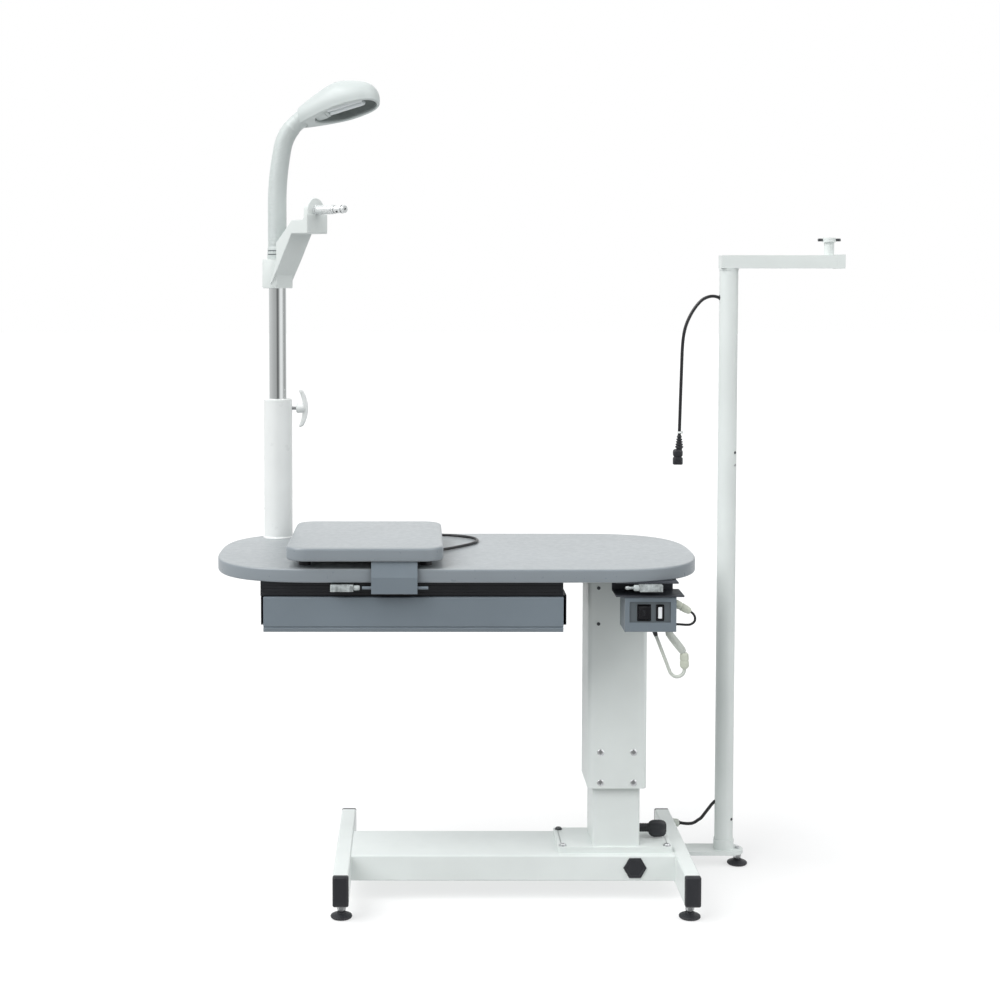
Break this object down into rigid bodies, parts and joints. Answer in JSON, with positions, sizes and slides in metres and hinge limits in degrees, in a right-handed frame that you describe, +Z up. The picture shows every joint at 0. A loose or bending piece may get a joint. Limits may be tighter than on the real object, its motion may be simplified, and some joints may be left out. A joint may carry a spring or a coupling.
{
  "type": "ophthalmic instrument table",
  "caption": "Height-adjustable instrument table with sliding tray, drawer, control box, chrome mast with refractor arm and lamp, and a projector pole with a swing arm.",
  "frame": {"origin": "on the floor, at the middle of the overall plan", "axes": "+Z up, +X to the operator's right, the front of the table faces -Y"},
  "size_m": [1.328, 0.502, 1.7064],
  "materials": {
    "white_paint": "white fine-textured powder coat",
    "pale_top": "light grey satin film on board",
    "grey_paint": "blue-grey satin enamel",
    "grey_front": "blue-grey satin film on board",
    "black_paint": "black satin powder coat",
    "black_plastic": "black moulded plastic",
    "black_gloss": "black glossy rocker plastic",
    "rubber_pad": "black rubber",
    "cable_black": "black PVC sheath",
    "cable_pale": "pale PVC sleeve",
    "cream_plastic": "cream nylon",
    "sage_plastic": "pale grey-green moulded plastic",
    "white_plastic": "white moulded plastic",
    "tube_glass": "white phosphor-coated glass",
    "steel": "zinc-plated steel",
    "chrome": "polished chrome",
    "reflector": "grey satin reflector"
  },
  "bodies": {
    "base": {"foot_tube_left": "white_paint", "foot_tube_right": "white_paint", "foot_caps": "black_plastic", "base_beam": "white_paint", "beam_plug": "black_plastic", "base_plate": "white_paint", "base_screws": "steel", "inner_column": "white_paint", "actuator_housing": "black_plastic", "projector_base_arm": "white_paint", "lower_pole": "white_paint", "upper_pole": "white_paint", "cable_gland": "black_plastic", "foot_cable": "cable_black", "hanging_cord": "cable_black", "cord_tie": "white_plastic", "cord_connector": "black_plastic"},
    "foot_front_left": {"leveller_front_left": "rubber_pad"},
    "foot_rear_left": {"leveller_rear_left": "rubber_pad"},
    "foot_front_right": {"leveller_front_right": "rubber_pad"},
    "foot_rear_right": {"leveller_rear_right": "rubber_pad"},
    "foot_arm": {"leveller_arm": "rubber_pad"},
    "lock_knob": {"column_knob": "black_plastic"},
    "lift": {"outer_column": "white_paint", "column_screws": "steel", "guide_pads": "cream_plastic", "actuator_rod": "chrome", "mount_plate": "black_paint", "tabletop": "pale_top", "front_rail": "black_paint", "roller_catches": "cream_plastic", "drawer_carcass": "black_paint", "switch_bracket": "black_paint", "control_box": "grey_paint", "control_panel": "black_plastic", "box_connectors": "cream_plastic", "box_lead_side": "cable_black", "box_lead_bottom": "cable_pale", "outer_pole": "white_paint", "pole_bushing": "white_plastic"},
    "tray": {"tray_plate": "pale_top", "tray_bracket_front": "grey_paint", "tray_bracket_rear": "grey_paint", "tray_glides": "black_plastic", "tray_cable": "cable_black"},
    "drawer": {"drawer_front": "grey_front", "drawer_box": "grey_paint"},
    "height_rocker": {"height_switch": "black_gloss"},
    "power_rocker": {"power_switch": "black_gloss"},
    "mast": {"mast_tube": "chrome"},
    "clamp": {"clamp_handle": "white_plastic"},
    "refractor_arm": {"phoropter_arm": "white_paint", "phoropter_pin": "chrome"},
    "neck": {"gooseneck": "sage_plastic"},
    "lamp_head": {"lamp_shell": "sage_plastic", "lamp_reflector": "reflector", "lamp_tube": "tube_glass"},
    "projector_boom": {"projector_arm": "white_paint", "projector_post": "white_paint", "post_screws": "black_plastic"}
  },
  "joints": [
    {"name": "level_front_left", "type": "slide", "parent": "base", "child": "foot_front_left", "axis": [0, 0, -1], "range_m": [-0.008, 0.012]},
    {"name": "level_rear_left", "type": "slide", "parent": "base", "child": "foot_rear_left", "axis": [0, 0, -1], "range_m": [-0.008, 0.012]},
    {"name": "level_front_right", "type": "slide", "parent": "base", "child": "foot_front_right", "axis": [0, 0, -1], "range_m": [-0.008, 0.012]},
    {"name": "level_rear_right", "type": "slide", "parent": "base", "child": "foot_rear_right", "axis": [0, 0, -1], "range_m": [-0.008, 0.012]},
    {"name": "level_arm", "type": "slide", "parent": "base", "child": "foot_arm", "axis": [0, 0, -1], "range_m": [-0.003, 0.012]},
    {"name": "lock_knob_turn", "type": "hinge", "parent": "base", "child": "lock_knob", "pos_m": [0.207, -0.01, 0.13], "axis": [1, 0, 0], "continuous": true},
    {"name": "table_lift", "type": "slide", "parent": "base", "child": "lift", "axis": [0, 0, 1], "range_m": [-0.075, 0.125]},
    {"name": "tray_slide", "type": "slide", "parent": "lift", "child": "tray", "axis": [1, 0, 0], "range_m": [0, 0.38]},
    {"name": "drawer_slide", "type": "slide", "parent": "lift", "child": "drawer", "axis": [0, -1, 0], "range_m": [0, 0.22]},
    {"name": "height_rocker_tilt", "type": "hinge", "parent": "lift", "child": "height_rocker", "pos_m": [0.1915, -0.217, 0.6265], "axis": [1, 0, 0], "range_deg": [-8, 8], "stiffness_Nm_per_rad": 0.05},
    {"name": "power_rocker_tilt", "type": "hinge", "parent": "lift", "child": "power_rocker", "pos_m": [0.223, -0.217, 0.6265], "axis": [1, 0, 0], "range_deg": [-8, 8]},
    {"name": "mast_slide", "type": "slide", "parent": "lift", "child": "mast", "axis": [0, 0, 1], "range_m": [-0.12, 0.08]},
    {"name": "clamp_turn", "type": "hinge", "parent": "lift", "child": "clamp", "pos_m": [-0.518, 0.183, 0.999], "axis": [1, 0, 0], "range_deg": [-90, 90]},
    {"name": "refractor_arm_swing", "type": "hinge", "parent": "mast", "child": "refractor_arm", "pos_m": [-0.558, 0.183, 1.29], "axis": [0, 0, 1], "range_deg": [-60, 90]},
    {"name": "neck_swing", "type": "hinge", "parent": "refractor_arm", "child": "neck", "pos_m": [-0.558, 0.183, 1.34], "axis": [0, 0, 1], "range_deg": [-120, 120]},
    {"name": "lamp_tilt", "type": "hinge", "parent": "neck", "child": "lamp_head", "pos_m": [-0.5055, 0.16893, 1.62464], "axis": [0.2588, 0.9659, 0], "range_deg": [-20, 14]},
    {"name": "projector_arm_swing", "type": "hinge", "parent": "base", "child": "projector_boom", "pos_m": [0.418, 0.14, 1.31], "axis": [0, 0, 1], "range_deg": [-120, 120]}
  ]
}
